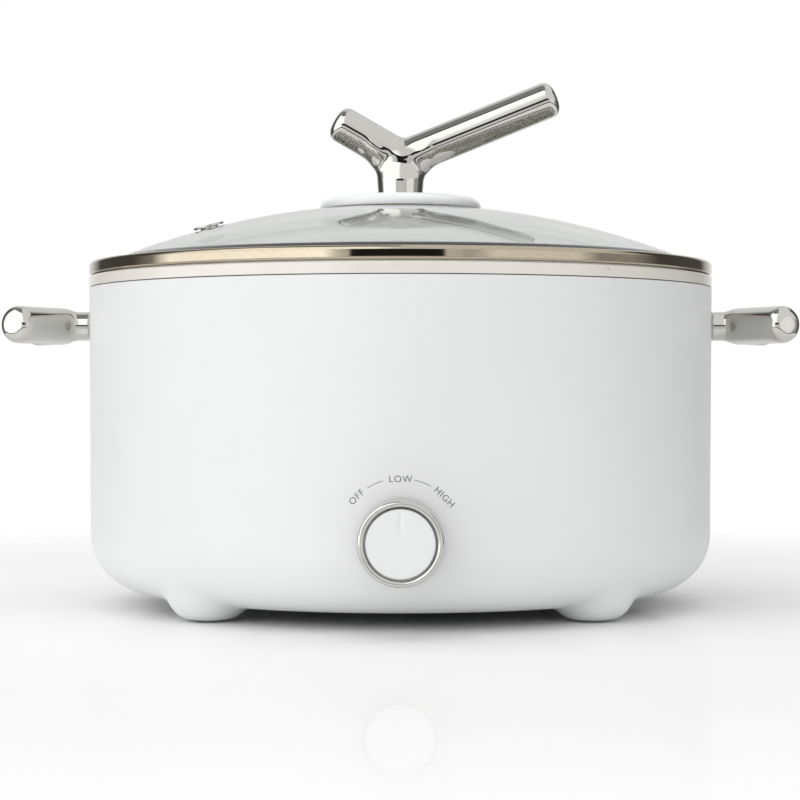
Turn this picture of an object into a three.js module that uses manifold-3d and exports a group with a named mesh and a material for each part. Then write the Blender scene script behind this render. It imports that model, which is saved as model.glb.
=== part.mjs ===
// A round electric slow cooker: white casing with moulded feet, lift-out stoneware crock,
// glass lid in a steel rim, chrome handles and one rotary control.
// Units are millimetres. +Z is up, the front (control side) faces -Y, and the origin is
// on the pot's axis at the level that the feet stand on.
import * as THREE from "three";
import { mergeVertices } from "three/addons/utils/BufferGeometryUtils.js";
import Module from "manifold-3d";

const wasm = await Module();
wasm.setup();

// ---------------------------------------------------------------- driving dimensions
const FIT = 0.3; // gap between pieces that touch
const ROUND = 40; // sides of the large turned pieces
const SMALL = 16; // sides of the small turned pieces

const casing = {
  rimRadius: 140,
  wallRadius: 139.3, // where the lower corner begins; the wall has a slight draft above
  rimZ: 141.6,
  floorZ: 6.5,
  cornerWidth: 27.6,
  cornerHeight: 25.4,
  wall: 2.5,
  ledgeRadius: 131.5,
  ledgeZ: 139.8,
  rebateRadius: 136.8,
  lipRadius: 86, // opening in the bottom
  coverSeatRadius: 94,
  coverSeatZ: 8.2,
  lipTopZ: 10.5,
};

// Each foot is a bowl: a flat bottom, then a quarter ellipse up to its full radius.
const foot = {
  ring: 113,
  flatRadius: 6.8,
  radius: 18,
  bottomZ: 0.6,
  fullZ: 13.6, // where the bowl reaches its full radius
  topZ: 17,
  padRadius: 6,
  padHeight: 2.2,
};

const crock = {
  bodyRadius: 120.5,
  bottomZ: 56,
  cornerRadius: 15,
  wall: 6,
  bandBottomZ: 142,
  bandTopZ: 146.9,
  bandRadius: 140,
};

const pan = { innerRadius: 122, wall: 1, floorZ: 54, cornerRadius: 14, flangeRadius: 135.9 };
const shield = { innerRadius: 130, wall: 0.8, floorZ: 50.2, topZ: 136 };
const heater = { innerRadius: 123.5, outerRadius: 125.3, bottomZ: 62, topZ: 102, gap: 14, tabX: 17 };

const glass = {
  sphereRadius: 340,
  sphereZ: -160.4, // height of the dome's centre of curvature
  thickness: 3.5,
  crownRadius: 29, // flat seat for the handle
  crownZ: 178.3,
  domeEdge: 129,
  flangeTopZ: 151.9,
  flangeBottomZ: 148.4,
  flangeRadius: 131.8, // where the flange's flat top begins
  edgeRadius: 136.8,
};

const rim = {
  bottomZ: 147.3,
  topZ: 153.1,
  outerRadius: 140.1,
  lipRadius: 132.2,
  lowRounding: 1.2,
  topRounding: 2.2,
};
const vent = { fromAxis: 89, towardsDeg: 200, flangeRadius: 6.75, tubeRadius: 4, boreRadius: 2.6 };

const lidHandle = {
  discRadius: 36.5,
  discBottomZ: 178.6,
  discTopZ: 183.4,
  discEdgeWidth: 6, // the top edge is a quarter ellipse
  discEdgeHeight: 4.2,
  recessRadius: 15, // for the gasket, in the disc's underside
  recessDepth: 1.3,
  stemRadius: 10.65,
  forkX: 0.7,
  forkZ: 201.3,
  barRadius: 8.25,
  longReach: 75.4,
  longAngle: 22,
  shortReach: 35,
  shortAngle: 30,
  capRounding: 5,
};

const sideHandle = {
  z: 125.2,
  stemRadius: 6.5,
  barRadius: 8.25,
  forkX: 153.9,
  reach: 36.75,
  spread: 27.3, // each branch's angle away from straight forwards or backwards
  capRounding: 5,
};

const control = {
  z: 37.3,
  backY: -140.1,
  depth: 17,
  ringRadius: 16.7,
  ringBore: 14.2,
  capRadius: 13.5,
  shaftRadius: 3,
};
const inlet = {
  z: 37,
  width: 44,
  height: 28,
  faceY: 157,
  mouthWidth: 24.5,
  mouthHeight: 16.5,
  mouthDepth: 16,
};
// Holes for the screws: clear holes let the thread through, bite holes are cut by it.
const hole = { base: 1.6, control: 1.9, bite: 1.6, handle: 2.6, shaft: 4.6 };

// ---------------------------------------------------------------- materials
function material(color, roughness, metalness, opacity = 1) {
  const transparent = opacity < 1;
  return new THREE.MeshStandardMaterial({ color, roughness, metalness, transparent, opacity });
}

const whitePlastic = material("#e9eaec", 0.4, 0);
const creamGlaze = material("#d9d0bd", 0.2, 0);
const clearGlass = material("#dfe5e6", 0.05, 0, 0.35);
const champagneSteel = material("#b3a08c", 0.2, 1);
const chromePlate = material("#d4d6d9", 0.1, 1);
const darkRubber = material("#3a3a3a", 0.9, 0);
const paleSilicone = material("#cfcfca", 0.7, 0);
const zincSheet = material("#a9adb0", 0.45, 1);
const panAluminium = material("#b9bbbd", 0.4, 1);
const micaBand = material("#b8a47c", 0.6, 0.1);
const blackPlastic = material("#26272a", 0.5, 0);
const brass = material("#c2a35a", 0.3, 1);
const fuseCeramic = material("#e6e0d2", 0.5, 0);
const leadSleeve = {
  live: material("#7a4a2c", 0.6, 0),
  neutral: material("#3d63a8", 0.6, 0),
  earth: material("#6f9a3c", 0.6, 0),
  white: material("#dcd8cf", 0.6, 0),
};

// ---------------------------------------------------------------- solids
// Every shape becomes one closed body: shared corners, no slivers, faces pointing out.
function signedVolume(position, index) {
  const a = new THREE.Vector3();
  const b = new THREE.Vector3();
  const c = new THREE.Vector3();
  let sum = 0;
  for (let i = 0; i < index.length; i += 3) {
    a.fromBufferAttribute(position, index[i]);
    b.fromBufferAttribute(position, index[i + 1]);
    c.fromBufferAttribute(position, index[i + 2]);
    sum += a.dot(b.cross(c));
  }
  return sum / 6;
}

function closed(source) {
  const bare = source.clone();
  bare.deleteAttribute("normal");
  bare.deleteAttribute("uv");
  const merged = mergeVertices(bare, 1e-4);
  const position = merged.getAttribute("position");
  const kept = [];
  const all = merged.getIndex().array;
  for (let i = 0; i < all.length; i += 3) {
    const [a, b, c] = [all[i], all[i + 1], all[i + 2]];
    if (a !== b && b !== c && c !== a) kept.push(a, b, c);
  }
  if (signedVolume(position, kept) < 0) kept.reverse();
  merged.setIndex(kept);
  return merged;
}

function toManifold(geometry) {
  const clean = closed(geometry);
  const vertProperties = new Float32Array(clean.getAttribute("position").array);
  const triVerts = new Uint32Array(clean.getIndex().array);
  return new wasm.Manifold(new wasm.Mesh({ numProp: 3, vertProperties, triVerts }));
}

function fromManifold(manifold) {
  const mesh = manifold.getMesh();
  const geometry = new THREE.BufferGeometry();
  geometry.setAttribute("position", new THREE.BufferAttribute(new Float32Array(mesh.vertProperties), 3));
  geometry.setIndex(new THREE.BufferAttribute(new Uint32Array(mesh.triVerts), 1));
  return closed(geometry);
}

function joined(...parts) {
  return fromManifold(parts.map(toManifold).reduce((whole, part) => whole.add(part)));
}

function cut(body, ...tools) {
  return fromManifold(tools.map(toManifold).reduce((rest, tool) => rest.subtract(tool), toManifold(body)));
}

// A profile of [radius, height] points turned about +Z. It starts and ends on the axis,
// or closes on itself.
function turned(profile, sides = ROUND) {
  const points = profile.map(([r, z]) => new THREE.Vector2(r, z));
  const [first, last] = [profile[0], profile[profile.length - 1]];
  const onAxis = first[0] === 0 && last[0] === 0;
  if (!onAxis) points.push(points[0].clone());
  return closed(new THREE.LatheGeometry(points, sides).rotateX(Math.PI / 2));
}

function disc(radius, z0, z1, sides = ROUND) {
  return turned([[0, z0], [radius, z0], [radius, z1], [0, z1]], sides);
}

function washer(inner, outer, z0, z1, sides = SMALL) {
  return turned([[inner, z0], [outer, z0], [outer, z1], [inner, z1]], sides);
}

function box(x0, x1, y0, y1, z0, z1) {
  const block = new THREE.BoxGeometry(x1 - x0, y1 - y0, z1 - z0);
  return closed(block.translate((x0 + x1) / 2, (y0 + y1) / 2, (z0 + z1) / 2));
}

// Turns a shape made along +Z so that it points along the given direction from a point.
function aimed(geometry, from, direction) {
  const up = new THREE.Vector3(0, 0, 1);
  const turn = new THREE.Quaternion().setFromUnitVectors(up, direction.clone().normalize());
  return geometry.clone().applyQuaternion(turn).translate(from.x, from.y, from.z);
}

const alongX = (geometry, x, y, z, sign = 1) =>
  aimed(geometry, new THREE.Vector3(x, y, z), new THREE.Vector3(sign, 0, 0));
const alongY = (geometry, x, y, z, sign = 1) =>
  aimed(geometry, new THREE.Vector3(x, y, z), new THREE.Vector3(0, sign, 0));

// Points on an elliptic arc, from one angle to another in degrees.
function arc(centreR, centreZ, radiusR, radiusZ, fromDeg, toDeg, steps) {
  return Array.from({ length: steps + 1 }, (_, i) => {
    const angle = THREE.MathUtils.degToRad(fromDeg + ((toDeg - fromDeg) * i) / steps);
    return [centreR + radiusR * Math.cos(angle), centreZ + radiusZ * Math.sin(angle)];
  });
}

function aroundAxis(count, startDeg, radius) {
  return Array.from({ length: count }, (_, i) => {
    const angle = THREE.MathUtils.degToRad(startDeg + (360 * i) / count);
    return { angle, x: radius * Math.cos(angle), y: radius * Math.sin(angle) };
  });
}

// ---------------------------------------------------------------- casing
// The casing's outside, grown by a margin so that neighbours can be cut back from it.
function casingEnvelope(margin) {
  const c = casing;
  const cornerR = c.wallRadius - c.cornerWidth;
  const cornerZ = c.floorZ + c.cornerHeight;
  const corner = arc(cornerR, cornerZ, c.cornerWidth + margin, c.cornerHeight + margin, -90, 0, 7);
  const rimPoint = [c.rimRadius + margin, c.rimZ + margin];
  return turned([[0, c.floorZ - margin], ...corner, rimPoint, [0, c.rimZ + margin]]);
}

function casingCavity() {
  const c = casing;
  const cornerR = c.wallRadius - c.cornerWidth;
  const cornerZ = c.floorZ + c.cornerHeight;
  const floorHeight = cornerZ - c.lipTopZ;
  const corner = arc(cornerR, cornerZ, c.cornerWidth - c.wall, floorHeight, -90, 0, 4);
  const ledgeStartZ = c.ledgeZ - 6;
  const above = c.rimZ + 5;
  return turned([
    [0, c.lipTopZ],
    ...corner,
    [c.rimRadius - c.wall - 0.2, ledgeStartZ],
    [c.ledgeRadius, c.ledgeZ - 1.8],
    [c.ledgeRadius, c.ledgeZ],
    [c.rebateRadius, c.ledgeZ],
    [c.rebateRadius, above],
    [0, above],
  ]);
}

function mouldedFoot() {
  const f = foot;
  const side = arc(f.flatRadius, f.fullZ, f.radius - f.flatRadius, f.fullZ - f.bottomZ, -90, 0, 5);
  return turned([[0, f.bottomZ], ...side, [f.radius, f.topZ], [0, f.topZ]], 24);
}

function outerCasing() {
  const c = casing;
  const places = aroundAxis(4, 45, foot.ring);
  const bowl = mouldedFoot();
  const feet = places.map(({ x, y }) => bowl.clone().translate(x, y, 0));
  const padSeat = disc(foot.padRadius + FIT, -1, foot.padHeight + FIT, SMALL);
  const padSeats = places.map(({ x, y }) => padSeat.clone().translate(x, y, 0));
  const screwHoles = baseScrewHoles();
  // Each of these runs right through the wall.
  const through = 12;
  const [frontY, backY] = [-144, 131];
  const small = disc(hole.control, 0, through, 12);
  const large = disc(hole.handle, 0, through, 12);
  const switchHoles = switchScrewXs.map((x) => alongY(small, x, frontY, control.z));
  const inletScrewHoles = inletScrewXs.map((x) => alongY(small, x, backY, inlet.z));
  const handleHoles = [1, -1].map((side) => alongX(large, side * 132, 0, sideHandle.z, side));
  return cut(
    joined(casingEnvelope(0), ...feet),
    casingCavity(),
    disc(c.lipRadius, 0, c.lipTopZ + 1),
    disc(c.coverSeatRadius, 0, c.coverSeatZ),
    ...padSeats,
    ...screwHoles,
    ...switchHoles,
    ...handleHoles,
    ...inletScrewHoles,
    alongY(disc(hole.shaft, 0, through, SMALL), 0, frontY, control.z),
    inletCore(0.5, backY - 1, backY + 14),
  );
}

// ---------------------------------------------------------------- base
const baseScrewPlaces = () => aroundAxis(4, 0, 90);
const baseScrewHoles = () =>
  baseScrewPlaces().map(({ x, y }) => disc(hole.base, 0, 20, 12).translate(x, y, 0));

function baseCover() {
  const [low, high, sheet] = [6.9, 11.9, 1]; // the middle is dished up for the tie nut
  const [studHole, dish, dishFoot] = [3.2, 12, 16];
  const edge = casing.coverSeatRadius - FIT;
  const plate = turned([
    [studHole, high],
    [dish, high],
    [dishFoot, low],
    [edge, low],
    [edge, low + sheet],
    [dishFoot - 0.4, low + sheet],
    [dish - 0.4, high + sheet],
    [studHole, high + sheet],
  ]);
  const slots = aroundAxis(8, 22.5, 1).map(({ angle }) => box(38, 62, -1.6, 1.6, 0, 20).rotateZ(angle));
  return cut(plate, ...slots, ...baseScrewHoles());
}

// A pan-head screw pointing along +Z, its head below z = 0.
function screw(headRadius, headHeight, shankRadius, length) {
  return turned(
    [
      [0, -headHeight],
      [headRadius * 0.7, -headHeight],
      [headRadius, -headHeight * 0.45],
      [headRadius, 0],
      [shankRadius, 0],
      [shankRadius, length - shankRadius],
      [0, length],
    ],
    10,
  );
}

function hexNut(radius, bore, z0, z1) {
  return cut(disc(radius, z0, z1, 6), disc(bore, z0 - 1, z1 + 1, 12));
}

// ---------------------------------------------------------------- heater
function heatingPan() {
  const p = pan;
  const [outer, cornerR] = [p.innerRadius + p.wall, p.innerRadius - p.cornerRadius];
  const cornerZ = p.floorZ + p.wall + p.cornerRadius;
  const flangeZ = casing.ledgeZ + FIT;
  const outside = arc(cornerR, cornerZ, p.cornerRadius + p.wall, p.cornerRadius + p.wall, -90, 0, 3);
  const inside = arc(cornerR, cornerZ, p.cornerRadius, p.cornerRadius, 0, -90, 3);
  return turned([
    [0, p.floorZ],
    ...outside,
    [outer, flangeZ],
    [p.flangeRadius, flangeZ],
    [p.flangeRadius, flangeZ + p.wall],
    [p.innerRadius, flangeZ + p.wall],
    ...inside,
    [0, p.floorZ + p.wall],
  ]);
}

function heatShield() {
  const s = shield;
  const outer = s.innerRadius + s.wall;
  const shell = turned([
    [3.2, s.floorZ],
    [outer, s.floorZ],
    [outer, s.topZ],
    [s.innerRadius, s.topZ],
    [s.innerRadius, s.floorZ + s.wall],
    [3.2, s.floorZ + s.wall],
  ]);
  const leadHoles = [1, -1].map((side) => disc(2.5, 45, 55, 12).translate(side * heater.tabX, 125.6, 0));
  return cut(shell, ...leadHoles);
}

function heaterBand() {
  const h = heater;
  const band = washer(h.innerRadius, h.outerRadius, h.bottomZ, h.topZ, ROUND);
  const split = box(-h.gap / 2, h.gap / 2, 100, 150, h.bottomZ - 1, h.topZ + 1);
  const tabs = [1, -1].map((side) => {
    const [x0, x1] = [side * h.tabX - 2, side * h.tabX + 2];
    return box(x0, x1, 123.7, 127.6, 66, 73);
  });
  return joined(cut(band, split), ...tabs);
}

// ---------------------------------------------------------------- crock
function stoneCrock() {
  const k = crock;
  const outsideR = k.bodyRadius - k.cornerRadius;
  const insideR = outsideR - 5;
  const floorZ = k.bottomZ + k.wall;
  const innerRadius = k.bodyRadius - k.wall;
  const insideCorner = innerRadius - insideR;
  const seatZ = casing.ledgeZ + FIT + pan.wall + FIT;
  return turned([
    [0, k.bottomZ],
    ...arc(outsideR, k.bottomZ + k.cornerRadius, k.cornerRadius, k.cornerRadius, -90, 0, 4),
    [k.bodyRadius, seatZ],
    [casing.rebateRadius - FIT, seatZ],
    [casing.rebateRadius - FIT, k.bandBottomZ],
    [k.bandRadius - 0.8, k.bandBottomZ],
    [k.bandRadius, k.bandBottomZ + 0.8],
    [k.bandRadius, k.bandTopZ - 0.9],
    [k.bandRadius - 0.9, k.bandTopZ],
    [innerRadius + 1.5, k.bandTopZ],
    [innerRadius, k.bandTopZ - 1.5],
    ...arc(insideR, floorZ + insideCorner, insideCorner, insideCorner, 0, -90, 4),
    [0, floorZ],
  ]);
}

// ---------------------------------------------------------------- lid
const domeZ = (radius, sphere) => glass.sphereZ + Math.sqrt(sphere * sphere - radius * radius);

function lidGlass() {
  const g = glass;
  const radii = [36, 62, 86, 108, g.domeEdge];
  const underside = radii.map((r) => [r, domeZ(r, g.sphereRadius - g.thickness)]);
  const topside = radii.map((r) => [r, domeZ(r, g.sphereRadius)]).reverse();
  const bend = (g.domeEdge + g.flangeRadius) / 2;
  const dome = turned([
    [0, g.crownZ - g.thickness],
    [g.crownRadius - 1, g.crownZ - g.thickness],
    ...underside,
    [g.flangeRadius - 0.8, g.flangeBottomZ],
    [g.edgeRadius, g.flangeBottomZ],
    [g.edgeRadius, g.flangeTopZ],
    [g.flangeRadius, g.flangeTopZ],
    [bend, g.flangeTopZ + 0.8],
    ...topside,
    [g.crownRadius, g.crownZ],
    [0, g.crownZ],
  ]);
  const screwHole = disc(3.4, 160, 190, SMALL);
  return cut(dome, screwHole, ventPlaced(disc(vent.tubeRadius + FIT, -12, 12, SMALL)));
}

// Puts a shape made about +Z, with z = 0 on the glass's outer face, at the steam vent.
function ventPlaced(geometry) {
  const z = domeZ(vent.fromAxis, glass.sphereRadius);
  const towards = THREE.MathUtils.degToRad(vent.towardsDeg);
  const [x, y] = [Math.cos(towards), Math.sin(towards)].map((along) => along * vent.fromAxis);
  const place = new THREE.Vector3(x, y, z);
  const outwards = new THREE.Vector3(x, y, z - glass.sphereZ);
  return aimed(geometry, place, outwards);
}

function steamVentEyelet() {
  const v = vent;
  const clearance = FIT + 0.2;
  const under = -glass.thickness - clearance;
  return ventPlaced(
    turned(
      [
        [v.boreRadius, under - 1.2],
        [5.6, under - 1.2],
        [5.6, under],
        [v.tubeRadius, under],
        [v.tubeRadius, clearance],
        [v.flangeRadius, clearance],
        [v.flangeRadius, 1],
        [v.flangeRadius - 0.6, 1.6],
        [3.4, 1.6],
        [v.boreRadius, 0.9],
      ],
      SMALL,
    ),
  );
}

function lidRimRing() {
  const r = rim;
  const slotLow = glass.flangeBottomZ - FIT;
  const slotHigh = glass.flangeTopZ + FIT;
  const [low, top] = [r.lowRounding, r.topRounding];
  return turned([
    [r.lipRadius, r.bottomZ],
    ...arc(r.outerRadius - low, r.bottomZ + low, low, low, -90, 0, 3),
    ...arc(r.outerRadius - top, r.topZ - top, top, top, 0, 90, 4),
    [r.lipRadius, r.topZ],
    [r.lipRadius, slotHigh],
    [glass.edgeRadius + FIT, slotHigh],
    [glass.edgeRadius + FIT, slotLow],
    [r.lipRadius, slotLow],
  ]);
}

// The white disc under the handle: its underside follows the crown, then the dome.
function lidHandleBase() {
  const h = lidHandle;
  const bore = 2.8;
  const recessZ = h.discBottomZ + h.recessDepth;
  const underEdgeZ = domeZ(h.discRadius, glass.sphereRadius) + FIT;
  const shoulder = [h.discRadius - h.discEdgeWidth, h.discTopZ - h.discEdgeHeight];
  const edge = arc(...shoulder, h.discEdgeWidth, h.discEdgeHeight, 0, 90, 4);
  return turned(
    [
      [bore, recessZ],
      [h.recessRadius, recessZ],
      [h.recessRadius, h.discBottomZ],
      [glass.crownRadius, h.discBottomZ],
      [h.discRadius - FIT, underEdgeZ],
      [h.discRadius, underEdgeZ + FIT],
      ...edge,
      [bore, h.discTopZ],
    ],
    32,
  );
}

// A round bar from z = 0 to its tip at z = reach, with rounded edges at the tip.
function bar(radius, reach, rounding, sides = SMALL) {
  const edge = arc(radius - rounding, reach - rounding, rounding, rounding, 0, 90, 3);
  return turned([[0, 0], [radius, 0], ...edge, [0, reach]], sides);
}

function lidHandleFork() {
  const h = lidHandle;
  const fork = new THREE.Vector3(h.forkX, 0, h.forkZ);
  const [long, short] = [h.longAngle, h.shortAngle].map(THREE.MathUtils.degToRad);
  const longWay = new THREE.Vector3(Math.cos(long), 0, Math.sin(long));
  const shortWay = new THREE.Vector3(-Math.cos(short), 0, Math.sin(short));
  const knuckle = new THREE.SphereGeometry(h.barRadius, 16, 10).translate(fork.x, fork.y, fork.z);
  const stemTopZ = h.forkZ - 3;
  const stemTop = new THREE.SphereGeometry(h.stemRadius, 20, 8).rotateX(Math.PI / 2);
  const whole = joined(
    disc(h.stemRadius, h.discTopZ + FIT, stemTopZ, 20),
    stemTop.scale(1, 1, 0.5).translate(0, 0, stemTopZ),
    knuckle,
    aimed(bar(h.barRadius, h.longReach, h.capRounding), fork, longWay),
    aimed(bar(h.barRadius, h.shortReach, h.capRounding), fork, shortWay),
  );
  const screwHole = disc(2.8, h.discTopZ - 1, h.forkZ - 1.3, SMALL);
  return cut(whole, screwHole);
}

// ---------------------------------------------------------------- side handles
function sideHandleFork(side) {
  const h = sideHandle;
  const fork = new THREE.Vector3(h.forkX, 0, h.z);
  const spread = THREE.MathUtils.degToRad(h.spread);
  const arms = [1, -1].map((way) => {
    const direction = new THREE.Vector3(Math.sin(spread), way * Math.cos(spread), 0);
    return aimed(bar(h.barRadius, h.reach, h.capRounding), fork, direction);
  });
  const stemStart = casing.rimRadius + FIT;
  const stem = alongX(disc(h.stemRadius, 0, h.forkX - stemStart, SMALL), stemStart, 0, h.z);
  const knuckle = new THREE.SphereGeometry(h.barRadius, 16, 10).translate(h.forkX, 0, h.z);
  const screwHole = alongX(disc(2.5, 0, 12.5, SMALL), stemStart - 2, 0, h.z);
  const whole = cut(joined(stem, knuckle, ...arms), screwHole);
  return side > 0 ? whole : whole.rotateZ(Math.PI);
}

// ---------------------------------------------------------------- rotary control
const switchScrewXs = [-9.5, 9.5];
const knobPlaced = (geometry) => alongY(geometry, 0, control.backY, control.z, -1);

function knobRing() {
  const k = control;
  const crest = (k.ringRadius - k.ringBore) / 2;
  const front = arc(k.ringBore + crest, k.depth - crest, crest, crest, 0, 180, 6);
  return knobPlaced(turned([[k.ringBore, 0.6], [k.ringRadius + 0.2, 0.6], ...front], 28));
}

function knobCap() {
  const k = control;
  const body = knobPlaced(
    turned(
      [
        [0, 13],
        [k.shaftRadius + FIT, 13],
        [k.shaftRadius + FIT, 4],
        [6, 4],
        [6, 10.5],
        [k.capRadius, 10.5],
        [k.capRadius, k.depth - 1.4],
        [k.capRadius - 1, k.depth - 0.6],
        [0, k.depth - 0.4],
      ],
      28,
    ),
  );
  const frontY = k.backY - k.depth;
  return cut(body, box(-0.6, 0.6, frontY - 1, frontY + 1.1, k.z + 2.6, k.z + 12.2));
}

function switchShaft() {
  const k = control;
  const rod = knobPlaced(disc(k.shaftRadius, -17, 12.4, SMALL));
  return cut(rod, box(1.8, 5, k.backY - 14, k.backY - 3, k.z - 5, k.z + 5));
}

function knobSpringClip() {
  const k = control;
  return box(2.1, 2.5, k.backY - 11.5, k.backY - 5, k.z - 1.6, k.z + 1.6);
}

const switchBox = { frontY: -132.5, backY: -115.5, halfWidth: 14.5, halfHeight: 11.5 };

function rotarySwitchBody() {
  const s = switchBox;
  const z = control.z;
  const screwBosses = switchScrewXs.map((x) => alongY(disc(3, 0, 4.4, 12), x, -135.6, z));
  const screwHoles = switchScrewXs.map((x) => alongY(disc(1.6, 0, 11, 12), x, -137, z));
  return cut(
    joined(
      box(-s.halfWidth, s.halfWidth, s.frontY, s.backY, z - s.halfHeight, z + s.halfHeight),
      alongY(disc(4.2, 0, 7, SMALL), 0, -138.5, z),
      ...screwBosses,
    ),
    ...screwHoles,
    alongY(disc(control.shaftRadius + FIT, 0, 18, SMALL), 0, -140, z),
  );
}

// ---------------------------------------------------------------- mains inlet
const inletScrewXs = [-17.4, 17.4];
const pinPlaces = [[-7, -2], [0, 2.5], [7, -2]];

// A block with rounded corners, lying along +Y from y0 to y1 and centred at a height.
function roundedBlock(width, height, corner, y0, y1, z) {
  const [w, h] = [width / 2, height / 2];
  const shape = new THREE.Shape();
  shape.absarc(w - corner, h - corner, corner, 0, Math.PI / 2);
  shape.absarc(-w + corner, h - corner, corner, Math.PI / 2, Math.PI);
  shape.absarc(-w + corner, -h + corner, corner, Math.PI, 1.5 * Math.PI);
  shape.absarc(w - corner, -h + corner, corner, 1.5 * Math.PI, 2 * Math.PI);
  const block = new THREE.ExtrudeGeometry(shape, { depth: y1 - y0, bevelEnabled: false, curveSegments: 5 });
  return closed(block.rotateX(Math.PI / 2).translate(0, y1, z));
}

// The part of the inlet that passes through the casing's wall, grown by a margin.
function inletCore(margin, y0, y1) {
  const [w, h] = [13 + margin, 9 + margin];
  return box(-w, w, y0, y1, inlet.z - h, inlet.z + h);
}

function pinBlock(x, dz, margin, y0, y1) {
  const z = inlet.z + dz;
  return box(x - 1 - margin, x + 1 + margin, y0, y1, z - 2 - margin, z + 2 + margin);
}

function inletHousing() {
  const i = inlet;
  const hood = cut(roundedBlock(i.width, i.height, 5, 125, i.faceY, i.z), casingEnvelope(FIT));
  const mouth = roundedBlock(i.mouthWidth, i.mouthHeight, 3, i.faceY - i.mouthDepth, i.faceY + 1, i.z);
  const screwHoles = inletScrewXs.map((x) => alongY(disc(hole.bite, 0, 15, 12), x, 135, i.z));
  const pinSlots = pinPlaces.map(([x, dz]) => pinBlock(x, dz, FIT, 110, 150));
  return cut(joined(hood, inletCore(0, 118, 142)), mouth, ...screwHoles, ...pinSlots);
}

// ---------------------------------------------------------------- internal leads
const leadRadius = 1.4;

function lead(points) {
  const section = new THREE.Shape();
  section.absarc(0, 0, leadRadius, 0, 2 * Math.PI);
  const through = points.map((point) => new THREE.Vector3(...point));
  const path = new THREE.CatmullRomCurve3(through, false, "centripetal");
  const steps = Math.ceil(path.getLength() / 9);
  return closed(new THREE.ExtrudeGeometry(section, { steps, curveSegments: 4, extrudePath: path }));
}

const fuse = { x: -45, y0: 33, y1: 47, z: 45.5, radius: 2.2 };
const leadRoutes = {
  live_lead: [[7, 111.1, 35], [8, 101, 34], [-6, 88, 32], [-34, 78, 34], [-45, 62, 43], [-45, 47.8, 45.5]],
  fuse_lead: [
    [-45, 32.2, 45.5],
    [-45, 16, 42],
    [-36, -40, 26],
    [-18, -90, 28],
    [-8, -101, 35],
    [-8, -106.6, 37.3],
  ],
  switch_lead: [
    [8, -106.6, 37.3],
    [10, -99, 36],
    [38, -76, 26],
    [66, -20, 22],
    [62, 50, 22],
    [30, 106, 28],
    [18.5, 119, 37],
    [17, 125, 47],
    [17, 125.6, 57],
    [17, 125.6, 65.6],
  ],
  neutral_lead: [
    [-7, 111.1, 35],
    [-9, 104, 36],
    [-17, 104.5, 39],
    [-18, 117, 40.5],
    [-17, 125, 47],
    [-17, 125.6, 57],
    [-17, 125.6, 65.6],
  ],
  earth_lead: [[0, 111.1, 39.5], [1, 98, 43], [3, 60, 46], [1, 30, 47.6], [0, 12.4, 48]],
};

// ---------------------------------------------------------------- assembly
const cooker = new THREE.Group();
cooker.name = "slow_cooker";

function add(name, geometry, surface) {
  const mesh = new THREE.Mesh(geometry, surface);
  mesh.name = name;
  cooker.add(mesh);
}

add("outer_casing", outerCasing(), whitePlastic);
add("base_cover", baseCover(), zincSheet);
aroundAxis(4, 45, foot.ring).forEach(({ x, y }, i) => {
  add(`foot_pad_${i + 1}`, disc(foot.padRadius, 0, foot.padHeight, SMALL).translate(x, y, 0), darkRubber);
});
baseScrewPlaces().forEach(({ x, y }, i) => {
  add(`base_screw_${i + 1}`, screw(3, 1.7, 1.3, 3.8).translate(x, y, 6.6), zincSheet);
});

add("heating_pan", heatingPan(), panAluminium);
add("heat_shield", heatShield(), zincSheet);
add("heater_band", heaterBand(), micaBand);
add("tie_stud", disc(2.5, 6, pan.floorZ - FIT, SMALL), zincSheet);
add("tie_washer", washer(2.9, 6.8, 10.6, 11.6), zincSheet);
add("tie_nut", hexNut(4.8, 2.8, 7, 10.3), zincSheet);
add("earth_tag", joined(washer(2.9, 5.4, 47.4, 48.6), box(-1.8, 1.8, 4.4, 12, 47.5, 48.5)), brass);

add("rotary_switch_body", rotarySwitchBody(), blackPlastic);
[-8, 8].forEach((x, i) => {
  const [y0, z] = [switchBox.backY + FIT, control.z];
  add(`switch_terminal_${i + 1}`, box(x - 0.4, x + 0.4, y0, y0 + 7.8, z - 3, z + 3), brass);
});
switchScrewXs.forEach((x, i) => {
  add(`switch_screw_${i + 1}`, alongY(screw(3, 1.8, 1.3, 11), x, -139.7, control.z), zincSheet);
});

const fuseBody = disc(fuse.radius, 0, fuse.y1 - fuse.y0, SMALL);
const fuseSeat = disc(fuse.radius + FIT, 0, 20, SMALL);
const clipBlock = box(fuse.x - 5, fuse.x + 5, 37, 43, fuse.z - 1, shield.floorZ - FIT);
add("thermal_fuse", alongY(fuseBody, fuse.x, fuse.y0, fuse.z), fuseCeramic);
add("fuse_clip", cut(clipBlock, alongY(fuseSeat, fuse.x, 30, fuse.z)), zincSheet);
const leadColours = {
  live_lead: leadSleeve.live,
  fuse_lead: leadSleeve.white,
  switch_lead: leadSleeve.white,
  neutral_lead: leadSleeve.neutral,
  earth_lead: leadSleeve.earth,
};
Object.entries(leadRoutes).forEach(([name, points]) => add(name, lead(points), leadColours[name]));

add("inlet_housing", inletHousing(), blackPlastic);
pinPlaces.forEach(([x, dz], i) => add(`inlet_pin_${i + 1}`, pinBlock(x, dz, 0, 112, 151), brass));
inletScrewXs.forEach((x, i) => {
  add(`inlet_screw_${i + 1}`, alongY(screw(3, 2, 1.3, 12), x, 134.9, inlet.z), zincSheet);
});

[["right", 1], ["left", -1]].forEach(([name, side]) => {
  const z = sideHandle.z;
  add(`side_handle_${name}`, sideHandleFork(side), chromePlate);
  add(`side_handle_washer_${name}`, alongX(washer(2.6, 6, 0, 1), side * 135.4, 0, z, side), zincSheet);
  add(`side_handle_screw_${name}`, alongX(screw(4.2, 2.3, 2.1, 14), side * 135.1, 0, z, side), zincSheet);
});

add("crock", stoneCrock(), creamGlaze);

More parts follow.
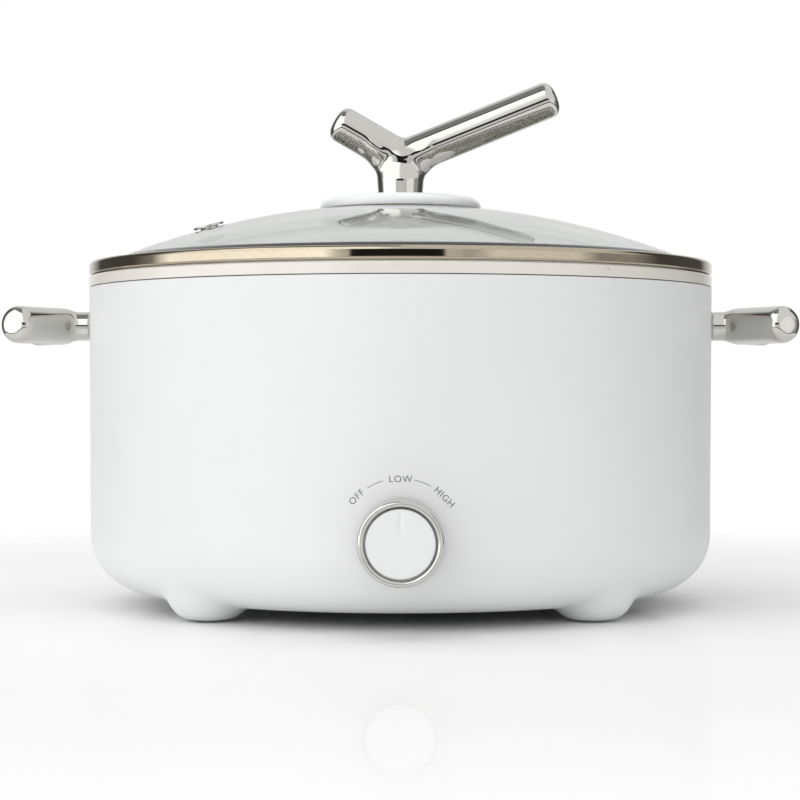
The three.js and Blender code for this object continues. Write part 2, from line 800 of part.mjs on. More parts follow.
add("lid_glass", lidGlass(), clearGlass);
add("lid_rim_ring", lidRimRing(), champagneSteel);
add("steam_vent_eyelet", steamVentEyelet(), chromePlate);
add("lid_handle_base", lidHandleBase(), whitePlastic);
add("lid_handle", lidHandleFork(), chromePlate);
const gasketTopZ = lidHandle.discBottomZ + lidHandle.recessDepth - FIT;
add("lid_handle_gasket", washer(3.3, 14, glass.crownZ + FIT, gasketTopZ, 32), paleSilicone);
add("lid_handle_washer", washer(2.6, 9, 173.5, 174.5, 24), zincSheet);
add("lid_handle_screw", screw(5, 2.2, 2.3, 25.5).translate(0, 0, 173.2), zincSheet);

add("knob_ring", knobRing(), chromePlate);
add("knob_cap", knobCap(), whitePlastic);
add("switch_shaft", switchShaft(), zincSheet);
add("knob_spring_clip", knobSpringClip(), zincSheet);

export default cooker;
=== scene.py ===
import math

import bmesh
import bpy
import numpy as np
from mathutils import Matrix, Vector


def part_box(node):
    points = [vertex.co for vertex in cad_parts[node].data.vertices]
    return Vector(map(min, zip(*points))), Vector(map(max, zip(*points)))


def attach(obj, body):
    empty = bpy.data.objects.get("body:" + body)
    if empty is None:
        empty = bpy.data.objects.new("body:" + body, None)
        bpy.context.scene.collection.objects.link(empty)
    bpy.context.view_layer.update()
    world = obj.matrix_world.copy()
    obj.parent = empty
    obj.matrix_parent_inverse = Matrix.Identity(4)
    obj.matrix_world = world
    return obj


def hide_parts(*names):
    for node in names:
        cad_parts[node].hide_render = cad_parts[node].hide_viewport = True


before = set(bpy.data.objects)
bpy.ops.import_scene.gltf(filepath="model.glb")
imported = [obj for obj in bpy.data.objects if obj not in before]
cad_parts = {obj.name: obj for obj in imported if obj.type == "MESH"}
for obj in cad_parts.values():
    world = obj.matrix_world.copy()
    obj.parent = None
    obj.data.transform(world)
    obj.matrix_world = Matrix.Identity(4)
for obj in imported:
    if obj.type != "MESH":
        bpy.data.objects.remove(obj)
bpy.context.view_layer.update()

MM = 0.001


def span(node):
    """Lowest and highest corner of a CAD node, in millimetres."""
    low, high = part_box(node)
    return np.array(low) / MM, np.array(high) / MM


# ---------------------------------------------------------------- sizes, from the frame
CASING_LOW, CASING_HIGH = span("outer_casing")
CASING_RADIUS = CASING_HIGH[0]
SEAM_Z = CASING_HIGH[2]
COVER_Z = span("base_cover")[0][2]
CROCK_LOW, CROCK_HIGH = span("crock")
RIM_LOW, RIM_HIGH = span("lid_rim_ring")
GLASS_LOW, GLASS_HIGH = span("lid_glass")
DISC_LOW, DISC_HIGH = span("lid_handle_base")
KNOB_LOW, KNOB_HIGH = span("knob_ring")
CAP_LOW, CAP_HIGH = span("knob_cap")
KNOB_Z = (KNOB_LOW[2] + KNOB_HIGH[2]) / 2
PAN_LOW, PAN_HIGH = span("heating_pan")

# ---------------------------------------------------------------- sizes of fine shapes
DRAFT = 0.7  # the wall leans in this much from the seam down to the lower corner
CORNER_WIDTH = 27.6  # the casing's lower corner is a quarter ellipse
CORNER_HEIGHT = 25.4
FLOOR_Z = COVER_Z - 0.4  # the casing's underside
WALL = 2.5
LEDGE_Z = PAN_HIGH[2] - 1.3  # the pan's flange rests on this ledge inside the casing's mouth
MOUTH_RADIUS = 136.8
LEDGE_RADIUS = 131.5
COVER_SEAT_RADIUS = 94.0  # the base cover lies in a seat round the opening underneath
COVER_LIP_RADIUS = 86.0
COVER_LIP_Z = 10.5
FOOT_RING = 113.0
FOOT_FLAT = 6.8  # radius of a foot's flat bottom; from it a quarter ellipse rises
FOOT_RADIUS = 18.0
FOOT_FULL_Z = 13.6
FOOT_BLEND = 4.0  # width of the fillet between a foot and the casing
FOOT_MAX_DROP = 14.0  # furthest that the casing's skin is drawn out to make a foot
CROCK_WALL_RADIUS = 120.5
CROCK_BORE_RADIUS = 114.5
CROCK_FLOOR = 6.0
PAN_WALL_RADIUS = 123.0
PAN_SHEET = 1.0
DOME_RADIUS = 340.0  # the glass's outer face is part of a sphere
DOME_CENTRE_Z = -160.4
GLASS_THICKNESS = 3.5
FLANGE_TOP_Z = GLASS_LOW[2] + GLASS_THICKNESS
FLANGE_GAP = 0.3
LIP_RADIUS = 132.2  # the rim ring's inner edge, which meets the glass's flat flange
STUD_RADIUS = 2.8  # half the bore for the handle's screw
BAR_RADIUS = 8.25
CAST_GRID = 0.9  # spacing of the net that the cast handles are made from


# ---------------------------------------------------------------- mesh helpers
def mesh_from(name, points, faces):
    """A smooth-shaded closed mesh from points in millimetres, its faces turned outwards."""
    mesh = bpy.data.meshes.new(name)
    mesh.from_pydata([tuple(p) for p in np.asarray(points) * MM], [], [tuple(f) for f in faces])
    mesh.validate()
    outward(mesh)
    mesh.polygons.foreach_set("use_smooth", [True] * len(mesh.polygons))
    return mesh


def outward(mesh):
    """Merges doubles and turns a closed mesh's faces outwards if its volume is negative."""
    work = bmesh.new()
    work.from_mesh(mesh)
    bmesh.ops.remove_doubles(work, verts=work.verts, dist=0.002 * MM)
    if work.calc_volume(signed=True) < 0:
        bmesh.ops.reverse_faces(work, faces=work.faces)
    work.to_mesh(mesh)
    work.free()


def piece(name, mesh, body, replaces=(), materials=()):
    """A finished piece at the origin that rides on a body."""
    made = bpy.data.objects.new(name, mesh)
    bpy.context.scene.collection.objects.link(made)
    for surface in materials:
        mesh.materials.append(surface)
    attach(made, body)
    if replaces:
        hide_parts(*replaces)


def rounded(corners, closed=False, steps=5, support=0.35):
    """Points of an outline of (radius, height, fillet) corners with its corners rounded."""
    count = len(corners)
    points = []
    for i, (r, z, fillet) in enumerate(corners):
        here = np.array([r, z], float)
        if fillet <= 0 or (not closed and i in (0, count - 1)):
            points.append(here)
            continue
        before = np.array(corners[i - 1][:2], float) - here
        after = np.array(corners[(i + 1) % count][:2], float) - here
        before_length, after_length = np.linalg.norm(before), np.linalg.norm(after)
        before, after = before / before_length, after / after_length
        half = math.acos(np.clip(before @ after, -1, 1)) / 2
        reach = min(fillet / math.tan(half), 0.49 * before_length, 0.49 * after_length)
        radius = reach * math.tan(half)
        middle = (before + after) / np.linalg.norm(before + after)
        centre = here + middle * radius / math.sin(half)
        start, end = here + before * reach, here + after * reach
        a0 = math.atan2(*(start - centre)[::-1])
        turn = math.atan2(*(end - centre)[::-1]) - a0
        turn = (turn + math.pi) % (2 * math.pi) - math.pi
        extra = min(support, 0.4 * reach)
        points.append(start + before * extra)
        for k in range(steps + 1):
            angle = a0 + turn * k / steps
            points.append(centre + radius * np.array([math.cos(angle), math.sin(angle)]))
        points.append(end + after * extra)
    return points


# ---------------------------------------------------------------- node helpers
def add(tree, kind, inputs=None, **settings):
    """Adds a node with its settings, its plain values and its links."""
    made = tree.nodes.new(kind)
    for name, value in settings.items():
        setattr(made, name, value)
    for name, value in (inputs or {}).items():
        socket = next((i for i in made.inputs if i.name == name and i.enabled), None) or made.inputs[name]
        if isinstance(value, bpy.types.NodeSocket):
            tree.links.new(value, socket)
        else:
            socket.default_value = value
    return made


def input_id(tree, name):
    """The identifier that a modifier knows a group input by."""
    return next(i.identifier for i in tree.interface.items_tree if i.name == name and i.in_out == "INPUT")


def turned_tree():
    """Geometry Nodes: turns a profile, a mesh whose points hold (radius, 0, height), about +Z."""
    tree = bpy.data.node_groups.new("turned_body", "GeometryNodeTree")
    face = tree.interface
    face.new_socket("Profile", in_out="INPUT", socket_type="NodeSocketGeometry")
    face.new_socket("Sides", in_out="INPUT", socket_type="NodeSocketInt")
    face.new_socket("Merge Distance", in_out="INPUT", socket_type="NodeSocketFloat")
    face.new_socket("Surface", in_out="INPUT", socket_type="NodeSocketMaterial")
    face.new_socket("Body", in_out="OUTPUT", socket_type="NodeSocketGeometry")
    given = add(tree, "NodeGroupInput").outputs
    size = add(tree, "GeometryNodeAttributeDomainSize", {"Geometry": given["Profile"]}, component="MESH")
    points = size.outputs["Point Count"]
    columns = add(tree, "ShaderNodeMath", {0: given["Sides"], 1: 1.0}, operation="ADD").outputs[0]
    grid = add(tree, "GeometryNodeMeshGrid", {"Vertices X": columns, "Vertices Y": points})
    index = add(tree, "GeometryNodeInputIndex").outputs[0]
    row = add(tree, "ShaderNodeMath", {0: index, 1: points}, operation="MODULO").outputs[0]
    share = add(tree, "ShaderNodeMath", {0: index, 1: points}, operation="DIVIDE").outputs[0]
    column = add(tree, "ShaderNodeMath", {0: share}, operation="FLOOR").outputs[0]
    part = add(tree, "ShaderNodeMath", {0: column, 1: given["Sides"]}, operation="DIVIDE").outputs[0]
    angle = add(tree, "ShaderNodeMath", {0: part, 1: math.tau}, operation="MULTIPLY").outputs[0]
    place = add(tree, "GeometryNodeInputPosition").outputs[0]
    sample = add(
        tree,
        "GeometryNodeSampleIndex",
        {"Geometry": given["Profile"], "Value": place, "Index": row},
        data_type="FLOAT_VECTOR",
        domain="POINT",
    )
    turned_place = add(
        tree,
        "ShaderNodeVectorRotate",
        {"Vector": sample.outputs[0], "Angle": angle},
        rotation_type="Z_AXIS",
    ).outputs[0]
    body = add(tree, "GeometryNodeSetPosition", {"Geometry": grid.outputs["Mesh"], "Position": turned_place})
    merged = add(
        tree,
        "GeometryNodeMergeByDistance",
        {"Geometry": body.outputs[0], "Distance": given["Merge Distance"]},
    )
    smooth = add(tree, "GeometryNodeSetShadeSmooth", {"Geometry": merged.outputs[0]})
    real = add(tree, "GeometryNodeRealizeInstances", {"Geometry": smooth.outputs[0]})
    painted = add(
        tree, "GeometryNodeSetMaterial", {"Geometry": real.outputs[0], "Material": given["Surface"]}
    )
    add(tree, "NodeGroupOutput", {"Body": painted.outputs[0]})
    return tree


TURNED = turned_tree()


def evaluated(name, mesh, tree, values):
    """A plain mesh made by a Geometry Nodes tree from a starting mesh and named values."""
    holder = bpy.data.objects.new(name + "_maker", mesh)
    bpy.context.scene.collection.objects.link(holder)
    modifier = holder.modifiers.new("made", "NODES")
    modifier.node_group = tree
    for key, value in values.items():
        modifier[input_id(tree, key)] = value
    graph = bpy.context.evaluated_depsgraph_get()
    made = bpy.data.meshes.new_from_object(holder.evaluated_get(graph), depsgraph=graph)
    made.name = name
    holder.modifiers.clear()
    bpy.data.objects.remove(holder)
    return made


def turned(name, outline, surface, sides=192, place=None):
    """A round body from an outline of (radius, height) points in millimetres."""
    profile = bpy.data.meshes.new(name + "_profile")
    profile.from_pydata([(r * MM, 0, z * MM) for r, z in outline], [], [])
    values = {"Sides": sides, "Merge Distance": 0.002 * MM, "Surface": surface}
    mesh = evaluated(name, profile, TURNED, values)
    outward(mesh)
    if place is not None:
        mesh.transform(place)
    return mesh


def looped(outline):
    """The outline with its first point again at its end."""
    return [*outline, outline[0]]


def towards_front(y, z):
    """Places a body turned about +Z so that it faces the front, its base at y and its axis at z."""
    return Matrix.Translation((0, y * MM, z * MM)) @ Matrix.Rotation(math.radians(90), 4, "X")


# ---------------------------------------------------------------- colours
def colour(code):
    """An sRGB hex colour as linear RGBA."""
    parts = [int(code[i : i + 2], 16) / 255 for i in (1, 3, 5)]
    return (*[c / 12.92 if c <= 0.04045 else ((c + 0.055) / 1.055) ** 2.4 for c in parts], 1.0)


def new_surface(name, **values):
    """A material with a Principled shader: gives it, its tree, the shader and the coordinates."""
    made = bpy.data.materials.new(name)
    made.use_nodes = True
    tree = made.node_tree
    tree.nodes.clear()
    shader = add(tree, "ShaderNodeBsdfPrincipled", values)
    add(tree, "ShaderNodeOutputMaterial", {"Surface": shader.outputs[0]})
    where = add(tree, "ShaderNodeTexCoord").outputs["Object"]
    return made, tree, shader, where


def grained(name, light, dark, rough, grain_mm, depth_mm, stretch=(1, 1, 1), cloud_mm=60, **values):
    """A surface whose colour drifts over cloud_mm and whose polish and height follow its grain.

    rough holds the lowest and highest roughness; stretch squeezes the grain along the axes.
    """
    made, tree, shader, where = new_surface(name, **values)
    along = add(tree, "ShaderNodeMapping", {"Vector": where, "Scale": stretch}).outputs[0]
    grain = add(tree, "ShaderNodeTexNoise", {"Vector": along, "Scale": 1 / (grain_mm * MM)}).outputs[0]
    cloud = add(tree, "ShaderNodeTexNoise", {"Vector": where, "Scale": 1 / (cloud_mm * MM)}).outputs[0]
    both = add(tree, "ShaderNodeMath", {0: grain, 1: cloud}, operation="ADD").outputs[0]
    drift = add(tree, "ShaderNodeMapRange", {"Value": both, "From Min": 0.7, "From Max": 1.3}).outputs[0]
    shades = {"Factor": drift, "A": colour(light), "B": colour(dark)}
    polish = {"Value": grain, "From Min": 0.3, "From Max": 0.7, "To Min": rough[0], "To Max": rough[1]}
    relief = {"Height": grain, "Distance": depth_mm * MM}
    links = {
        "Base Color": add(tree, "ShaderNodeMix", shades, data_type="RGBA").outputs[2],
        "Roughness": add(tree, "ShaderNodeMapRange", polish).outputs[0],
        "Normal": add(tree, "ShaderNodeBump", relief).outputs[0],
    }
    for socket, value in links.items():
        tree.links.new(value, shader.inputs[socket])
    return made


# Moulded polypropylene with a fine spark texture: milky white, a soft broad sheen and no
# clear reflections. The texture's real grit is near 0.15 mm, drawn at 0.5 mm so that it shows.
WHITE = grained("moulded_white_polypropylene", "#F1F2F2", "#EDEEEE", (0.36, 0.46), 0.5, 0.004, IOR=1.49)

# Gloss ABS from a polished mould: white with a soft-edged clear shine.
DISC_WHITE = grained("gloss_white_abs", "#F6F6F7", "#F1F2F3", (0.16, 0.24), 6, 0.008, IOR=1.52)


# Glazed stoneware in oatmeal cream: a warm body under a clear glassy coat, with iron specks
# burnt through it, under a millimetre across and about a centimetre apart.
def speckled_glaze():
    glaze = {"IOR": 1.52, "Coat Weight": 0.5, "Coat Roughness": 0.08}
    made, tree, shader, where = new_surface("speckled_stoneware_glaze", **glaze)
    cloud = add(tree, "ShaderNodeTexNoise", {"Vector": where, "Scale": 1 / (30 * MM)}).outputs[0]
    shades = {"Factor": cloud, "A": colour("#EEEAE3"), "B": colour("#E7E2DA")}
    body = add(tree, "ShaderNodeMix", shades, data_type="RGBA").outputs[2]
    for spacing_mm, speck_mm in ((13, 0.5), (7, 0.28)):
        cells = add(tree, "ShaderNodeTexVoronoi", {"Vector": where, "Scale": 1 / (spacing_mm * MM)})
        edge = {"From Min": 0.7 * speck_mm / spacing_mm, "From Max": 1.3 * speck_mm / spacing_mm}
        fade = {"Value": cells.outputs["Distance"], "To Min": 1.0, "To Max": 0.0, **edge}
        dot = add(tree, "ShaderNodeMapRange", fade).outputs[0]
        shades = {"Factor": dot, "A": body, "B": colour("#5B4A3C")}
        body = add(tree, "ShaderNodeMix", shades, data_type="RGBA").outputs[2]
    polish = {"Value": cloud, "To Min": 0.24, "To Max": 0.34}
    waves = add(tree, "ShaderNodeTexNoise", {"Vector": where, "Scale": 1 / (9 * MM)}).outputs[0]
    tree.links.new(body, shader.inputs["Base Color"])
    tree.links.new(add(tree, "ShaderNodeMapRange", polish).outputs[0], shader.inputs["Roughness"])
    relief = add(tree, "ShaderNodeBump", {"Height": waves, "Distance": 0.04 * MM}).outputs[0]
    tree.links.new(relief, shader.inputs["Normal"])
    return made


GLAZE = speckled_glaze()

# Tempered soda-lime glass, pressed and fire-polished: clear, with a faint grey-green body and
# a surface that is not quite flat.
GLASS = grained(
    "tempered_glass", "#F5F8F7", "#EFF3F2", (0.0, 0.02), 25, 0.01, IOR=1.52, **{"Transmission Weight": 1.0}
)
# Rolled stainless strip, buffed and tinted champagne: a warm brown-grey mirror, a little
# softened along its length by the rolling.
RIM_STEEL = grained(
    "champagne_stainless", "#BCB2A0", "#B0A592", (0.03, 0.07), 2.5, 0.0004, (1, 1, 8), Metallic=1.0
)
# Bright nickel-chrome plate over a buffed zinc casting: a neutral mirror with faint waves.
CHROME = grained("bright_chrome_plate", "#CDCCC8", "#C6C5C1", (0.02, 0.05), 9, 0.002, Metallic=1.0)
# Zinc-plated pressed steel: dull silver with a soft uneven lustre.
ZINC = grained("zinc_plated_steel", "#BDC1C4", "#A0A5A9", (0.3, 0.48), 2.5, 0.01, Metallic=1.0)
# Spun aluminium sheet: pale grey with fine rings left by the spinning tool.
SPUN = grained("spun_aluminium", "#CDCED0", "#B5B7B9", (0.26, 0.4), 1.2, 0.01, (1, 1, 10), Metallic=1.0)
# Rolled brass: warm yellow, slightly dulled by handling.
BRASS = grained("rolled_brass", "#CDB06A", "#B4934C", (0.22, 0.38), 1.5, 0.005, Metallic=1.0)
# Moulded rubber for the feet: mid grey, matt, faintly dusty.
RUBBER = grained("moulded_rubber", "#8E8F90", "#7F8081", (0.7, 0.9), 0.6, 0.02, IOR=1.52)
# Cast silicone: pale, waxy and matt.
SILICONE = grained("cast_silicone", "#D8D8D4", "#CACAC6", (0.5, 0.65), 1.0, 0.01, IOR=1.41)
# Glass-filled nylon with a fine moulded grain: black with a dull sheen.
BLACK = grained("black_glass_filled_nylon", "#2D2E31", "#232427", (0.42, 0.58), 0.6, 0.02, IOR=1.53)
# Pressed mica board: tawny flakes with a pearly lustre.
MICA = grained("pressed_mica_board", "#C2AC7C", "#97835A", (0.35, 0.6), 3.0, 0.03, IOR=1.58)
# Fired steatite: chalky off-white.
STEATITE = grained("fired_steatite", "#E8E2D5", "#DAD3C4", (0.6, 0.75), 0.8, 0.01, IOR=1.6)
# Pad-printed two-part ink: a thin mid-grey film, slightly glossier than the plastic under it.
INK = grained("grey_printing_ink", "#696A6C", "#616264", (0.3, 0.4), 0.5, 0.002, IOR=1.5)


# Extruded silicone sleeving: a soft satin colour with a faint drag along it.
def sleeve(tint, light, dark):
    return grained(tint + "_silicone_sleeve", light, dark, (0.4, 0.55), 0.8, 0.01, IOR=1.41)


BROWN_SLEEVE = sleeve("brown", "#7C4D30", "#6B4028")
BLUE_SLEEVE = sleeve("blue", "#3F68B0", "#355A9A")
GREEN_SLEEVE = sleeve("green", "#74A340", "#64903A")
WHITE_SLEEVE = sleeve("white", "#DFDBD1", "#CFCABF")


# ---------------------------------------------------------------- casing with moulded feet
def smooth_least(a, b, reach):
    """The lesser of two distances, with a rounded joint about reach wide."""
    h = np.clip(0.5 + 0.5 * (b - a) / reach, 0, 1)
    return b + (a - b) * h - reach * h * (1 - h)


def bowl_distance(r, z, corner_r, corner_z, width, height):
    """Signed distance, negative inside, to a round body with an elliptic lower corner."""
    u = np.maximum(r - corner_r, 0) / width
    v = np.maximum(corner_z - z, 0) / height
    long = np.sqrt(u**2 + v**2) + 1e-9
    slope = np.sqrt((u / width) ** 2 + (v / height) ** 2) / long + 1e-9
    return (long - 1) / slope


def casing_distance(r, z):
    """Signed distance to the casing's outside, without its feet."""
    corner_r = CASING_RADIUS - DRAFT - CORNER_WIDTH
    return bowl_distance(r, z, corner_r, FLOOR_Z + CORNER_HEIGHT, CORNER_WIDTH, CORNER_HEIGHT)


def foot_distance(x, y, z):
    """Signed distance to the four moulded feet, which are small bowls."""
    centre = FOOT_RING / math.sqrt(2)
    out = np.hypot(np.abs(x) - centre, np.abs(y) - centre)
    width, height = FOOT_RADIUS - FOOT_FLAT, FOOT_FULL_Z - CASING_LOW[2]
    bowl = bowl_distance(out, z, FOOT_FLAT, FOOT_FULL_Z, width, height)
    return np.maximum(bowl, z - FOOT_FULL_Z - 7)


def casing_outline():
    """The casing's closed outline without feet: its outside, and the ledges and wall within."""
    wall = CASING_RADIUS - DRAFT
    corner_r, corner_z = wall - CORNER_WIDTH, FLOOR_Z + CORNER_HEIGHT
    seat_r, seat_z = COVER_SEAT_RADIUS, COVER_Z + 1.3
    flat = [(r, FLOOR_Z) for r in np.arange(seat_r + 0.6, corner_r, 1.1)]
    curve = [
        (corner_r + CORNER_WIDTH * math.sin(a), corner_z - CORNER_HEIGHT * math.cos(a))
        for a in np.radians(np.linspace(0, 90, 42))
    ]
    climb = [(wall + DRAFT * t, corner_z + (SEAM_Z - corner_z) * t) for t in np.linspace(0.04, 0.97, 14)]
    outside = [(seat_r, FLOOR_Z + 0.6), (seat_r + 0.15, FLOOR_Z + 0.15), *flat, *curve, *climb]
    inside = rounded(
        [
            (climb[-1][0], climb[-1][1], 0),
            (CASING_RADIUS, SEAM_Z, 0.35),
            (MOUTH_RADIUS, SEAM_Z, 0.3),
            (MOUTH_RADIUS, LEDGE_Z, 0.2),
            (LEDGE_RADIUS, LEDGE_Z, 0.4),
            (LEDGE_RADIUS, LEDGE_Z - 1.8, 0.4),
            (wall - WALL + 0.5, LEDGE_Z - 6, 1),
            (wall - WALL, corner_z, 1),
            (wall - 3.4, FLOOR_Z + 16, 5),
            (corner_r + 8, COVER_LIP_Z, 9),
            (COVER_LIP_RADIUS, COVER_LIP_Z, 0.4),
            (COVER_LIP_RADIUS, seat_z, 0.2),
            (seat_r, seat_z, 0.2),
            (seat_r, FLOOR_Z + 0.9, 0),
        ],
        steps=4,
    )[1:]
    return outside, inside


def casing_mesh():
    """The casing: a closed turned shell whose lower outside is drawn out into the feet."""
    outside, inside = casing_outline()
    profile = np.array([*outside, *inside])
    free = len(outside)
    # Columns crowd together round the four feet, where the shape changes fast.
    even = np.linspace(0, 2 * math.pi, 480, endpoint=False)
    angles = even - 0.16 * np.sin(4 * (even - math.pi / 4))
    grid_r = np.repeat(profile[:, :1], len(angles), axis=1)
    grid_z = np.repeat(profile[:, 1:], len(angles), axis=1)
    step = np.gradient(profile[:free], axis=0)
    step /= np.linalg.norm(step, axis=1)[:, None]
    out_r, out_z = step[:, 1][:, None], -step[:, 0][:, None]
    out_z[:2], out_r[:2] = -1, 0
    # Each point walks outwards until it meets the casing and feet melted together.
    travel = np.zeros((free, len(angles)))
    for _ in range(60):
        pr = grid_r[:free] + out_r * travel
        pz = grid_z[:free] + out_z * travel
        x, y = pr * np.cos(angles), pr * np.sin(angles)
        gap = smooth_least(casing_distance(pr, pz), foot_distance(x, y, pz), FOOT_BLEND)
        travel = np.clip(travel - 0.6 * gap, 0, FOOT_MAX_DROP)
    # The skin stays put next to the cover's seat, so that the seat's edge is round.
    fade = np.clip((profile[:free, 0] - COVER_SEAT_RADIUS - 0.5) / 3.0, 0, 1)[:, None]
    grid_r[:free] += out_r * travel * fade
    grid_z[:free] += out_z * travel * fade
    grid_z = np.maximum(grid_z, CASING_LOW[2])
    rows, columns = grid_r.shape
    points = np.stack([grid_r * np.cos(angles), grid_r * np.sin(angles), grid_z], axis=-1).reshape(-1, 3)
    faces = []
    for i in range(rows):
        a, b = i * columns, ((i + 1) % rows) * columns
        for j in range(columns):
            k = (j + 1) % columns
            faces.append((a + j, a + k, b + k, b + j))
    return mesh_from("casing_shell", points, faces)


piece("casing_shell", casing_mesh(), "base", ["outer_casing"], [WHITE])


# ---------------------------------------------------------------- crock and pan
def crock_outline():
    """A straight-sided pot whose thick rim stands on the casing and shows as a band."""
    low, top = CROCK_LOW[2], CROCK_HIGH[2]
    band_low = SEAM_Z + 0.4
    return rounded(
        [
            (0, low + 1.4, 0),
            (90, low + 1.4, 0.6),
            (91.5, low, 0.8),
            (CROCK_WALL_RADIUS, low, 15),
            (CROCK_WALL_RADIUS, SEAM_Z - 0.2, 1),
            (136.4, SEAM_Z - 0.2, 0.3),
            (136.6, band_low, 0.2),
            (CROCK_HIGH[0], band_low, 0.35),
            (CROCK_HIGH[0], top, 1.1),
            (CROCK_BORE_RADIUS, top, 2.4),
            (CROCK_BORE_RADIUS, low + CROCK_FLOOR, 14),
            (0, low + CROCK_FLOOR, 0),
        ],
        steps=8,
    )


piece(
    "stoneware_crock",
    turned("stoneware_crock", crock_outline(), GLAZE, sides=256),
    "crock",
    ["crock"],
)


def pan_outline():
    """A thin round pan that hangs by its flange."""
    low, top = PAN_LOW[2], PAN_HIGH[2]
    inner = PAN_WALL_RADIUS - PAN_SHEET
    return rounded(
        [
            (0, low, 0),
            (PAN_WALL_RADIUS, low, 15),
            (PAN_WALL_RADIUS, top - PAN_SHEET, 0.6),
            (PAN_HIGH[0], top - PAN_SHEET, 0.2),
            (PAN_HIGH[0], top, 0.4),
            (inner, top, 1.4),
            (inner, low + PAN_SHEET, 14),
            (0, low + PAN_SHEET, 0),
        ],
        steps=7,
    )


piece(
    "spun_heating_pan",
    turned("spun_heating_pan", pan_outline(), SPUN, sides=192),
    "base",
    ["heating_pan"],
)


# ---------------------------------------------------------------- lid
def dome_z(radius, sphere=DOME_RADIUS):
    """Height of the glass's outer face, or of another sphere about the same centre."""
    return DOME_CENTRE_Z + math.sqrt(sphere**2 - radius**2)


def glass_outline():
    """The dome: a flat crown under the handle, the sphere, and a flat flange at its edge."""
    crown = GLASS_HIGH[2]
    low, top, edge = GLASS_LOW[2], FLANGE_TOP_Z, GLASS_HIGH[0]
    outer = [(r, dome_z(r)) for r in np.linspace(33, 128.6, 34)]
    inner = [(r, dome_z(r, DOME_RADIUS - GLASS_THICKNESS)) for r in np.linspace(128.4, 33, 34)]
    bend_out = [(129.7, top + 1.6), (130.7, top + 0.75), (131.7, top + 0.12)]
    rim = [(133, top), (edge - 1, top), (edge - 0.3, top - 0.3), (edge, top - 1)]
    under = [(edge, low + 1), (edge - 0.3, low + 0.3), (edge - 1, low), (LIP_RADIUS, low)]
    bend_in = [(131.1, low + 0.1), (130.2, low + 0.7)]
    flat = crown - GLASS_THICKNESS
    middle = [(3.4, crown - 0.3), (3.7, crown), (27, crown), (30, crown - 0.05)]
    below = [(30, flat - 0.1), (27, flat), (3.7, flat), (3.4, flat + 0.3)]
    return looped([*middle, *outer, *bend_out, *rim, *under, *bend_in, *inner, *below])


def vent_place():
    """Where the steam vent sits: z = 0 on the glass's outer face, tilted with it."""
    low, high = span("steam_vent_eyelet")
    x, y = (low[0] + high[0]) / 2, (low[1] + high[1]) / 2
    out = math.hypot(x, y) + 0.5  # its tube leans inwards, so the box's middle is nearer the axis
    turn = Matrix.Rotation(math.atan2(y, x), 4, "Z")
    lean = Matrix.Rotation(math.asin(out / DOME_RADIUS), 4, "Y")
    return turn @ Matrix.Translation((out * MM, 0, dome_z(out) * MM)) @ lean


def glass_mesh():
    """The dome, with a hole cut for the steam vent."""
    mesh = turned("glass_dome", glass_outline(), GLASS, sides=256)
    drill = turned("vent_drill", [(0, -9), (4.3, -9), (4.3, 9), (0, 9)], GLASS, sides=48, place=vent_place())
    body, tool = (bpy.data.objects.new(m.name + "_work", m) for m in (mesh, drill))
    for made in (body, tool):
        bpy.context.scene.collection.objects.link(made)
    cut = body.modifiers.new("hole", "BOOLEAN")
    cut.operation, cut.solver, cut.object = "DIFFERENCE", "EXACT", tool
    graph = bpy.context.evaluated_depsgraph_get()
    made = bpy.data.meshes.new_from_object(body.evaluated_get(graph), depsgraph=graph)
    body.modifiers.clear()
    bpy.data.objects.remove(body)
    bpy.data.objects.remove(tool)
    return made


piece("glass_dome", glass_mesh(), "lid", ["lid_glass"])


def rim_outline():
    """A strip rolled round the glass's edge: an upright face whose top rolls inwards."""
    low, top = RIM_LOW[2], RIM_HIGH[2]
    outer, lip = CASING_RADIUS, LIP_RADIUS
    slot_low, slot_top = GLASS_LOW[2] - FLANGE_GAP, FLANGE_TOP_Z + FLANGE_GAP
    slot_edge = GLASS_HIGH[0] + FLANGE_GAP
    face = [(outer - 0.02, low, 1.2), (outer + 0.02, low + 2.4, 40), (outer - 0.02, top, 2.2)]
    slot = [(lip, slot_top, 0.1), (slot_edge, slot_top, 0.1), (slot_edge, slot_low, 0.1)]
    ends = [(lip, top, 0.3), *slot, (lip, slot_low, 0.1)]
    corners = [(lip, low, 0.3), *face, *ends]
    return looped(rounded(corners, closed=True, steps=7, support=0.15))


piece(
    "rolled_rim_band",
    turned("rolled_rim_band", rim_outline(), RIM_STEEL, sides=256),
    "lid",
    ["lid_rim_ring"],
)


def vent_outline():
    """A tube through the glass with a flange on each side; height 0 is the glass's outer face."""
    under = -GLASS_THICKNESS - 0.5
    flange = [(4.0, 0.5, 0.1), (6.75, 0.5, 0.2), (6.75, 1.6, 0.5), (3.9, 1.6, 0.5)]
    inner_end = [(2.6, under - 1.2, 0.4), (5.6, under - 1.2, 0.5), (5.6, under, 0.2), (4.0, under, 0.1)]
    corners = [*inner_end, *flange, (2.6, 0.6, 0.6)]
    return looped(rounded(corners, closed=True, steps=4, support=0.1))


piece(
    "vent_eyelet",
    turned("vent_eyelet", vent_outline(), CHROME, sides=64, place=vent_place()),
    "lid",
    ["steam_vent_eyelet"],
)


